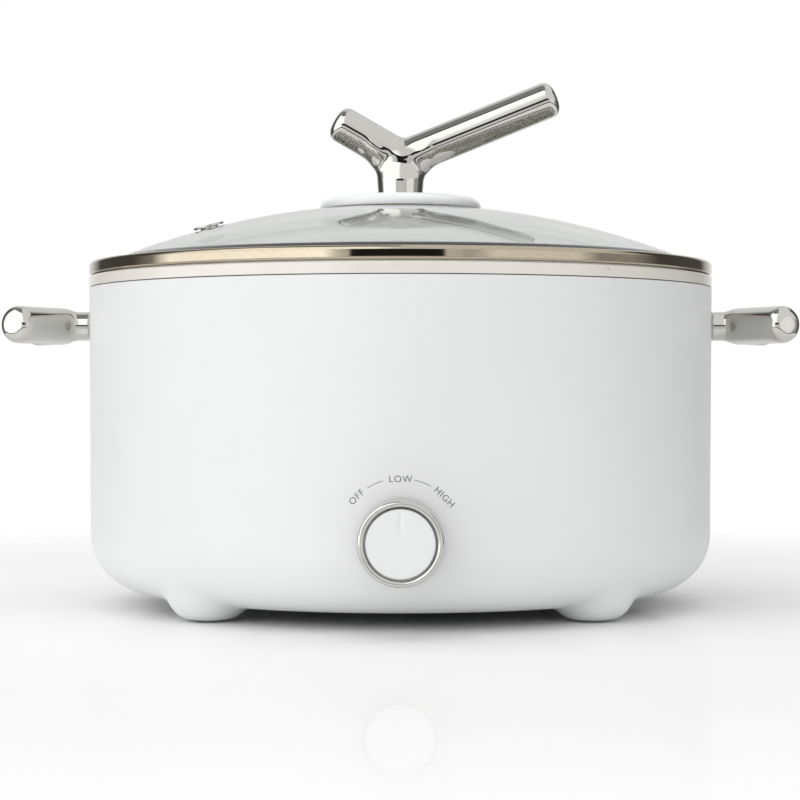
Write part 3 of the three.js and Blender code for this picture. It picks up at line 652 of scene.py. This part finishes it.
def disc_outline():
    """The disc's underside follows the glass; its top edge is a quarter ellipse."""
    low, top, edge = DISC_LOW[2], DISC_HIGH[2], DISC_HIGH[0]
    seat = GLASS_HIGH[2] + FLANGE_GAP
    wide, high = 6.0, 4.2
    crest = [
        (edge - wide + wide * math.cos(a), top - high + high * math.sin(a))
        for a in np.radians(np.linspace(0, 90, 15))
    ]
    recess = [(STUD_RADIUS, seat + 1.3), (14.9, seat + 1.3), (15, seat + 0.1)]
    under = [(15.2, seat), (29.1, seat), (29.5, seat)]
    under += [(r, dome_z(r) + FLANGE_GAP) for r in (31.5, 34, edge - 0.5)]
    under += [(edge - 0.15, low), (edge, low + 0.2)]
    return looped([*recess, *under, *crest, (STUD_RADIUS + 0.3, top), (STUD_RADIUS, top - 0.3)])


piece(
    "handle_disc",
    turned("handle_disc", disc_outline(), DISC_WHITE, sides=160),
    "lid",
    ["lid_handle_base"],
)


# ---------------------------------------------------------------- forked handles
def bar_distance(p, start, end, radius, rounding):
    """Signed distance to a round bar with rounded edges at its end; its start is left long."""
    start, end = np.array(start, float), np.array(end, float)
    axis = (end - start) / np.linalg.norm(end - start)
    along = (p - start) @ axis
    across = np.linalg.norm(p - start - along[..., None] * axis, axis=-1)
    length = np.linalg.norm(end - start)
    u = across - (radius - rounding)
    v = along - (length - rounding)
    ends = np.maximum(u, v)
    corner = np.hypot(np.maximum(u, 0), np.maximum(v, 0)) + np.minimum(ends, 0) - rounding
    behind = np.hypot(across, np.minimum(along, 0)) - radius
    return np.where(along < 0, behind, corner)


def surface_net(distance, low, high, step):
    """A closed mesh where distance is 0, one point in each grid cell that it crosses."""
    axes = [np.arange(a - 2 * step, b + 3 * step, step) for a, b in zip(low, high)]
    grid = np.stack(np.meshgrid(*axes, indexing="ij"), axis=-1)
    inside = distance(grid) < 0
    shape = np.array(inside.shape) - 1
    corners = sum(
        inside[i : i + shape[0], j : j + shape[1], k : k + shape[2]].astype(int)
        for i in (0, 1)
        for j in (0, 1)
        for k in (0, 1)
    )
    crossed = (corners > 0) & (corners < 8)
    number = np.full(shape, -1)
    number[crossed] = np.arange(crossed.sum())
    points = grid[:-1, :-1, :-1][crossed] + step / 2
    faces = []
    for axis in range(3):
        one, two = [a for a in range(3) if a != axis]
        change = np.swapaxes(inside, 0, axis)[1:] != np.swapaxes(inside, 0, axis)[:-1]
        starts = np.argwhere(np.swapaxes(change, 0, axis))
        cells = []
        for da, db in ((1, 1), (0, 1), (0, 0), (1, 0)):
            cell = starts.copy()
            cell[:, one] -= da
            cell[:, two] -= db
            cells.append(number[tuple(cell.T)])
        first_inside = inside[tuple(starts.T)]
        quads = np.stack(cells, axis=1)
        flip = first_inside if axis != 1 else ~first_inside
        quads[flip] = quads[flip][:, ::-1]
        faces.append(quads)
    return points, np.concatenate(faces)


def settle(points, distance, rounds=10, probe=0.02):
    """Moves points onto the surface where distance is 0."""
    for _ in range(rounds):
        value = distance(points)
        slope = np.stack(
            [
                (distance(points + probe * axis) - distance(points - probe * axis)) / (2 * probe)
                for axis in np.eye(3)
            ],
            axis=-1,
        )
        length = np.maximum((slope**2).sum(axis=-1, keepdims=True), 0.05)
        points = points - np.clip(value[:, None] * slope / length, -1, 1)
    return points


def relaxed(points, faces, distance, rounds=6):
    """Evens out the spacing of a net while keeping it on the surface."""
    edges = np.concatenate([faces[:, [i, (i + 1) % 4]] for i in range(4)])
    for _ in range(rounds):
        total = np.zeros_like(points)
        count = np.zeros(len(points))
        for a, b in ((0, 1), (1, 0)):
            np.add.at(total, edges[:, a], points[edges[:, b]])
            np.add.at(count, edges[:, a], 1)
        points = settle(0.5 * points + 0.5 * total / count[:, None], distance, rounds=2)
    return points


def cast_handle(name, distance, node, body):
    """A chrome-plated casting in place of a CAD node."""
    low, high = span(node)
    points, faces = surface_net(distance, low, high, CAST_GRID)
    points = relaxed(settle(points, distance), faces, distance)
    points = settle(points, distance, rounds=4)
    piece(name, mesh_from(name, points, faces), body, [node], [CHROME])


def tip(fork, reach, degrees):
    """The end of a branch that rises at an angle from the fork, in the XZ plane."""
    angle = math.radians(degrees)
    return (fork[0] + reach * math.cos(angle), 0, fork[2] + reach * math.sin(angle))


HANDLE_LOW = span("lid_handle")[0]
LID_ROUNDING = 4.6  # of the edges at the branches' ends
LID_FORK = (0.7, 0, HANDLE_LOW[2] + 17.6)
LONG_TIP = tip(LID_FORK, 75.4, 22)
SHORT_TIP = tip(LID_FORK, 35, 180 - 30)
STEM_RADIUS = 10.65
SHOULDER_Z = LID_FORK[2] - 9.5


def lid_handle_distance(p):
    """Signed distance to the lid's handle: a long and a short branch on a round stem."""
    long_bar = bar_distance(p, LID_FORK, LONG_TIP, BAR_RADIUS, LID_ROUNDING)
    short_bar = bar_distance(p, LID_FORK, SHORT_TIP, BAR_RADIUS, LID_ROUNDING)
    branches = smooth_least(long_bar, short_bar, 2.0)
    across, z = np.hypot(p[..., 0], p[..., 1]), p[..., 2]
    # The stem widens a little upwards to its shoulder. Above that its front and back lean in
    # until the bars cover them, while its sides go straight up into the bars.
    above = z - SHOULDER_Z
    front = np.clip(1.25 - np.abs(p[..., 0]) / 8, 0, 1)
    radius = STEM_RADIUS + 0.07 * np.minimum(above, 0) - 0.33 * front * np.maximum(above, 0)
    stem = np.maximum(across - radius, above - 11)
    reach = np.interp(np.abs(p[..., 0]), (6, 13), (1.2, 8.0))
    whole = smooth_least(branches, stem, reach)
    return np.maximum(whole, HANDLE_LOW[2] - z)


cast_handle("forked_lid_handle", lid_handle_distance, "lid_handle", "lid")

SIDE_LOW, SIDE_HIGH = span("side_handle_right")
SIDE_Z = (SIDE_LOW[2] + SIDE_HIGH[2]) / 2
SIDE_FORK_X = 153.9
SIDE_SPREAD = math.radians(27.3)
SIDE_REACH = 36.75
SIDE_ROUNDING = 5.0
SIDE_STEM_RADIUS = 6.5


def side_handle_distance(p):
    """Signed distance to both side handles, each a stem with two level branches."""
    p = np.stack([np.abs(p[..., 0]), np.abs(p[..., 1]), p[..., 2]], axis=-1)
    fork = np.array([SIDE_FORK_X, 0, SIDE_Z])
    end = fork + SIDE_REACH * np.array([math.sin(SIDE_SPREAD), math.cos(SIDE_SPREAD), 0])
    branch = bar_distance(p, fork, end, BAR_RADIUS, SIDE_ROUNDING)
    across = np.hypot(p[..., 1], p[..., 2] - SIDE_Z)
    stem = np.maximum(across - SIDE_STEM_RADIUS, p[..., 0] - SIDE_FORK_X)
    whole = smooth_least(branch, stem, 2.0)
    return np.maximum(whole, SIDE_LOW[0] - p[..., 0])


for side in ("right", "left"):
    cast_handle("side_grip_" + side, side_handle_distance, "side_handle_" + side, "base")


# ---------------------------------------------------------------- control knob
KNOB_BASE_Y = KNOB_HIGH[1]
KNOB_DEPTH = KNOB_HIGH[1] - KNOB_LOW[1]
CAP_RADIUS = CAP_HIGH[0]
CAP_SKIRT = 6.0  # height of the cap's wide part, in front of its narrow boss
BOSS_RADIUS = 6.0
SHAFT_RADIUS = 3.3
POINTER_LOW, POINTER_HIGH = 2.8, 12.4  # the pressed line's ends above the cap's middle
POINTER_HALF_WIDTH = 1.15
POINTER_DEPTH = 0.45


def knob_ring_mesh():
    """A plated ring whose front is a half round, a dark gap away from the cap inside it."""
    inner, outer = CAP_RADIUS + 0.7, KNOB_HIGH[0] - 0.2
    crest = (outer - inner) / 2
    front = [
        (inner + crest + crest * math.cos(a), KNOB_DEPTH - crest + crest * math.sin(a))
        for a in np.radians(np.linspace(0, 180, 25))
    ]
    side = [(outer + 0.1, 0), (outer + 0.2, 0.1), (outer + 0.2, 1), (outer + 0.1, 9)]
    outline = looped([(inner, 0), *side, *front])
    return turned("knob_ring_chrome", outline, CHROME, 160, towards_front(KNOB_BASE_Y, KNOB_Z))


piece("knob_ring_chrome", knob_ring_mesh(), "knob", ["knob_ring"])


def knob_cap_mesh():
    """The white cap, its face lightly domed and pressed in along a pointer line."""
    front = CAP_HIGH[1] - CAP_LOW[1]
    bore_end = front - 3.4
    face = [(r, front - 0.25 * (r / CAP_RADIUS) ** 2) for r in np.linspace(0, CAP_RADIUS - 1.0, 46)]
    edge = rounded(
        [
            (*face[-1], 0),
            (CAP_RADIUS, front - 0.35, 0.7),
            (CAP_RADIUS, front - CAP_SKIRT, 0.3),
            (BOSS_RADIUS, front - CAP_SKIRT, 0.3),
            (BOSS_RADIUS, 0, 0.3),
            (SHAFT_RADIUS, 0, 0.1),
            (SHAFT_RADIUS, bore_end, 0),
            (0, bore_end, 0),
        ],
        support=0.1,
    )[1:]
    mesh = turned("knob_cap_white", [*face, *edge], WHITE, sides=256)
    for vertex in mesh.vertices:
        x, y, z = np.array(vertex.co) / MM
        if z < front - 1.0:
            continue
        along = np.clip((y - POINTER_LOW) / 1.2, 0, 1) * np.clip((POINTER_HIGH - y) / 1.2, 0, 1)
        across = np.clip(1 - (abs(x) / POINTER_HALF_WIDTH) ** 2, 0, 1)
        vertex.co.z -= POINTER_DEPTH * along * across * MM
    mesh.transform(towards_front(CAP_HIGH[1], KNOB_Z))
    return mesh


piece("knob_cap_white", knob_cap_mesh(), "knob", ["knob_cap"])


# ---------------------------------------------------------------- printed marks
def wall_radius(z):
    """The casing's radius at a height on its upright wall."""
    corner_z = FLOOR_Z + CORNER_HEIGHT
    return CASING_RADIUS - DRAFT + DRAFT * (z - corner_z) / (SEAM_Z - corner_z)


FILM_FRONT, FILM_BACK = 0.04, 0.008  # how far the ink's faces stand off the wall


def printed(name, meshes):
    """Joins flat marks drawn in (x, z) and lays them on the front wall as a thin film."""
    work = bmesh.new()
    for mesh in meshes:
        work.from_mesh(mesh)
    for vertex in work.verts:
        x, z = vertex.co.x / MM, vertex.co.y / MM
        lift = FILM_FRONT if vertex.co.z > 0 else FILM_BACK
        vertex.co = Vector((x, -math.sqrt((wall_radius(z) + lift) ** 2 - x**2), z)) * MM
    bmesh.ops.recalc_face_normals(work, faces=work.faces)
    mesh = bpy.data.meshes.new(name)
    work.to_mesh(mesh)
    work.free()
    piece(name, mesh, "base", materials=[INK])


CAPITAL_SHARE = 0.72  # a capital letter's height as a share of the font's size


def word_mesh(text, height, centre, degrees):
    """A word as a flat mesh, its middle at centre and turned clockwise by degrees."""
    curve = bpy.data.curves.new(text, "FONT")
    curve.body = text
    curve.size = height / CAPITAL_SHARE * MM
    curve.space_character = 1.12
    curve.align_x, curve.align_y = "CENTER", "CENTER"
    curve.extrude = 0.01 * MM
    curve.offset = -0.004 * height * MM
    holder = bpy.data.objects.new(text, curve)
    bpy.context.scene.collection.objects.link(holder)
    graph = bpy.context.evaluated_depsgraph_get()
    mesh = bpy.data.meshes.new_from_object(holder.evaluated_get(graph), depsgraph=graph)
    bpy.data.objects.remove(holder)
    turn = Matrix.Rotation(-math.radians(degrees), 4, "Z")
    mesh.transform(Matrix.Translation((centre[0] * MM, centre[1] * MM, 0)) @ turn)
    return mesh


def ribbon_mesh(points, width):
    """A flat line of even width through (x, z) points, with a little thickness."""
    points = np.array(points, float)
    along = np.gradient(points, axis=0)
    along /= np.linalg.norm(along, axis=1)[:, None]
    side = np.stack([-along[:, 1], along[:, 0]], axis=1) * width / 2
    rows = np.stack([points + side, points - side], axis=1)
    count = len(points)
    verts = [(*p, h) for h in (0.01, -0.01) for pair in rows for p in pair]
    top = [(2 * i, 2 * i + 1, 2 * i + 3, 2 * i + 2) for i in range(count - 1)]
    low = [tuple(2 * count + k for k in reversed(f)) for f in top]
    n = 2 * count
    left = [(2 * i, 2 * i + 2, n + 2 * i + 2, n + 2 * i) for i in range(count - 1)]
    right = [(2 * i + 1, n + 2 * i + 1, n + 2 * i + 3, 2 * i + 3) for i in range(count - 1)]
    ends = [(0, n, n + 1, 1), (n - 2, n - 1, 2 * n - 1, 2 * n - 2)]
    mesh = bpy.data.meshes.new("ribbon")
    mesh.from_pydata([tuple(np.array(v) * MM) for v in verts], [], [*top, *low, *left, *right, *ends])
    return mesh


def on_dial(radius, degrees):
    """The (x, z) place at a clockwise angle from straight above the knob."""
    angle = math.radians(degrees)
    return (radius * math.sin(angle), KNOB_Z + radius * math.cos(angle))


def dial_arc(start, end, radius):
    """Points along an arc about the knob, from one angle to another."""
    return [on_dial(radius, a) for a in np.linspace(start, end, 12)]


LABEL_RADIUS = 24.2
LABEL_HEIGHT = 2.7
LINE_WIDTH = 0.22
words = [("OFF", -45), ("LOW", 0), ("HIGH", 45)]
marks = [word_mesh(text, LABEL_HEIGHT, on_dial(LABEL_RADIUS, at), at) for text, at in words]
for start, end in ((-32, -16), (13, 29)):
    marks.append(ribbon_mesh(dial_arc(start, end, LABEL_RADIUS + 0.3), LINE_WIDTH))
printed("dial_print", marks)

# ---------------------------------------------------------------- the rest of the CAD nodes
FINISHES = {
    "base_cover": ZINC,
    "foot_pad": RUBBER,
    "base_screw": ZINC,
    "heat_shield": ZINC,
    "heater_band": MICA,
    "tie_": ZINC,
    "earth_tag": BRASS,
    "rotary_switch_body": BLACK,
    "switch_terminal": BRASS,
    "switch_screw": ZINC,
    "switch_shaft": ZINC,
    "knob_spring_clip": ZINC,
    "thermal_fuse": STEATITE,
    "fuse_clip": ZINC,
    "inlet_housing": BLACK,
    "inlet_pin": BRASS,
    "inlet_screw": ZINC,
    "side_handle_washer": ZINC,
    "side_handle_screw": ZINC,
    "lid_handle_gasket": SILICONE,
    "lid_handle_washer": ZINC,
    "lid_handle_screw": ZINC,
    "live_lead": BROWN_SLEEVE,
    "neutral_lead": BLUE_SLEEVE,
    "earth_lead": GREEN_SLEEVE,
    "fuse_lead": WHITE_SLEEVE,
    "switch_lead": WHITE_SLEEVE,
}
for name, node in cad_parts.items():
    finish = next((f for start, f in FINISHES.items() if name.startswith(start)), None)
    if finish and not node.hide_render:
        for slot in node.material_slots:
            slot.material = finish


# ---------------------------------------------------------------- floor, light and camera
def floor():
    """A pale glossy floor that fades into the white surroundings."""
    mesh = bpy.data.meshes.new("studio_floor")
    ring = 64
    reach = 1.6
    angles = np.linspace(0, math.tau, ring, endpoint=False)
    verts = [(reach * math.cos(a), reach * math.sin(a), 0) for a in angles]
    mesh.from_pydata(verts, [], [tuple(range(ring))])
    made = bpy.data.objects.new("studio_floor", mesh)
    bpy.context.scene.collection.objects.link(made)
    surface = bpy.data.materials.new("white_gloss_floor")
    surface.use_nodes = True
    tree = surface.node_tree
    tree.nodes.clear()
    where = add(tree, "ShaderNodeTexCoord").outputs["Object"]
    out = add(tree, "ShaderNodeVectorMath", {0: where}, operation="LENGTH").outputs["Value"]
    shown = add(
        tree,
        "ShaderNodeMapRange",
        {"Value": out, "From Min": 0.28, "From Max": 0.7, "To Min": 1.0, "To Max": 0.0},
        interpolation_type="SMOOTHSTEP",
    ).outputs[0]
    matt = add(tree, "ShaderNodeBsdfDiffuse", {"Color": colour("#F4F4F4")})
    gloss = add(tree, "ShaderNodeBsdfGlossy", {"Color": colour("#FFFFFF"), "Roughness": 0.03})
    blend = add(tree, "ShaderNodeMixShader", {0: 0.1, 1: matt.outputs[0], 2: gloss.outputs[0]})
    clear = add(tree, "ShaderNodeBsdfTransparent")
    faded = add(tree, "ShaderNodeMixShader", {0: shown, 1: clear.outputs[0], 2: blend.outputs[0]})
    add(tree, "ShaderNodeOutputMaterial", {"Surface": faded.outputs[0]})
    mesh.materials.append(surface)


def studio():
    """White surroundings for the eye, and for reflections a tent with flags and brighter boxes."""
    world = bpy.data.worlds.new("studio")
    bpy.context.scene.world = world
    world.use_nodes = True
    tree = world.node_tree
    tree.nodes.clear()
    way = add(tree, "ShaderNodeTexCoord").outputs["Generated"]
    x, y, z = add(tree, "ShaderNodeSeparateXYZ", {0: way}).outputs
    front = add(tree, "ShaderNodeMath", {0: y, 1: -1.0}, operation="MULTIPLY").outputs[0]
    turn = add(tree, "ShaderNodeMath", {0: x, 1: front}, operation="ARCTAN2").outputs[0]
    rise = add(tree, "ShaderNodeMath", {0: z}, operation="ARCSINE").outputs[0]
    # Each patch is painted over those before it: azimuth from, to and soft edge, the same for
    # the height, all in degrees, and its brightness. Azimuth 0 is the front.
    patches = [
        (-200, 0, 10, 10, 100, 1.0, 0.3),  # ceiling, left
        (-95, 0, 10, 10, 62, 1.0, 1.8),  # large softbox over the camera
        (-95, 0, 8, 62, 67, 0.8, 0.04),  # its upper edge
        (0, 200, 10, 9, 100, 1.0, 1.0),  # bounced light, right
        (-95, -22, 5, -12, 9, 1.0, 2.0),  # tall softbox, left
        (-22, 24, 4, -12, 9, 1.0, 0.85),  # the studio behind the camera
        (28, 70, 5, -12, 9, 1.0, 1.2),  # reflector, right
        (-17.7, 15.5, 0.7, -1.4, 9.4, 0.6, 0.02),  # black card over the lens
        (-200, 200, 1, -17.5, -13, 0.7, 0.05),  # the table's edge
        (-200, 200, 1, -91, -18, 1.5, 1.2),  # the white table
        (98, 150, 8, -12, 42, 3, 0.1),  # dark corners of the room
        (-150, -104, 8, -12, 42, 3, 0.1),
        (-230, -150, 8, -12, 70, 6, 0.85),  # bright wall behind
        (150, 230, 8, -12, 70, 6, 0.85),
    ]
    level = 0.46
    for a0, a1, a_soft, h0, h1, h_soft, bright in patches:
        edges = []
        for value, start, end, soft in ((turn, a0, a1, a_soft), (rise, h0, h1, h_soft)):
            for middle, low, high in ((start, 0.0, 1.0), (end, 1.0, 0.0)):
                limits = {
                    "From Min": math.radians(middle - soft),
                    "From Max": math.radians(middle + soft),
                    "To Min": low,
                    "To Max": high,
                }
                edges.append(add(tree, "ShaderNodeMapRange", {"Value": value, **limits}).outputs[0])
        inside = edges[0]
        for edge in edges[1:]:
            inside = add(tree, "ShaderNodeMath", {0: inside, 1: edge}, operation="MULTIPLY").outputs[0]
        level = add(tree, "ShaderNodeMix", {"Factor": inside, "A": level, "B": bright}).outputs[0]
    # Soft light falls mostly from the front left and least from the right and behind.
    lean = add(tree, "ShaderNodeVectorMath", {0: way, 1: (-0.27, -0.14, 0.10)}, operation="DOT_PRODUCT")
    glow = add(tree, "ShaderNodeMath", {0: lean.outputs["Value"], 1: 0.68}, operation="ADD").outputs[0]
    mirrored = add(tree, "ShaderNodeBackground", {"Color": colour("#FDFDFC"), "Strength": level})
    lighting = add(tree, "ShaderNodeBackground", {"Color": colour("#FDFDFD"), "Strength": glow})
    backdrop = add(tree, "ShaderNodeBackground", {"Color": (1, 1, 1, 1), "Strength": 1.0})
    ray = add(tree, "ShaderNodeLightPath").outputs
    shaded = {0: ray["Is Diffuse Ray"], 1: mirrored.outputs[0], 2: lighting.outputs[0]}
    around = add(tree, "ShaderNodeMixShader", shaded).outputs[0]
    looks = {0: ray["Is Camera Ray"], 1: around, 2: backdrop.outputs[0]}
    everything = add(tree, "ShaderNodeMixShader", looks).outputs[0]
    add(tree, "ShaderNodeOutputWorld", {"Surface": everything})


def softbox(name, azimuth, height, away, size, power):
    """A square area light that looks at the middle of the cooker and is not mirrored in it."""
    light = bpy.data.lights.new(name, "AREA")
    light.shape, light.size, light.energy = "SQUARE", size, power
    made = bpy.data.objects.new(name, light)
    bpy.context.scene.collection.objects.link(made)
    a, h = math.radians(azimuth), math.radians(height)
    way = Vector((math.sin(a) * math.cos(h), -math.cos(a) * math.cos(h), math.sin(h)))
    aim = Vector((0, 0, 100 * MM))
    made.location = aim + way * away
    made.rotation_mode = "QUATERNION"
    made.rotation_quaternion = way.to_track_quat("Z", "Y")
    made.visible_glossy = False
    made.visible_camera = False


def camera():
    """A long lens low in front, level with the pot's wall."""
    lens = bpy.data.cameras.new("camera")
    lens.sensor_width = 36.0
    lens.lens = 97.0
    lens.shift_y = -0.01275
    lens.shift_x = -0.0006
    lens.clip_start = 0.05
    made = bpy.data.objects.new("camera", lens)
    bpy.context.scene.collection.objects.link(made)
    made.location = (0, -0.98, 0.0964)
    made.rotation_euler = (math.radians(90), 0, 0)
    bpy.context.scene.camera = made


floor()
studio()
softbox("key_left", -42, 30, 1.6, 1.2, 1.2)
softbox("overhead", 0, 85, 1.5, 1.4, 7)
camera()
bpy.context.scene.view_settings.view_transform = "Standard"
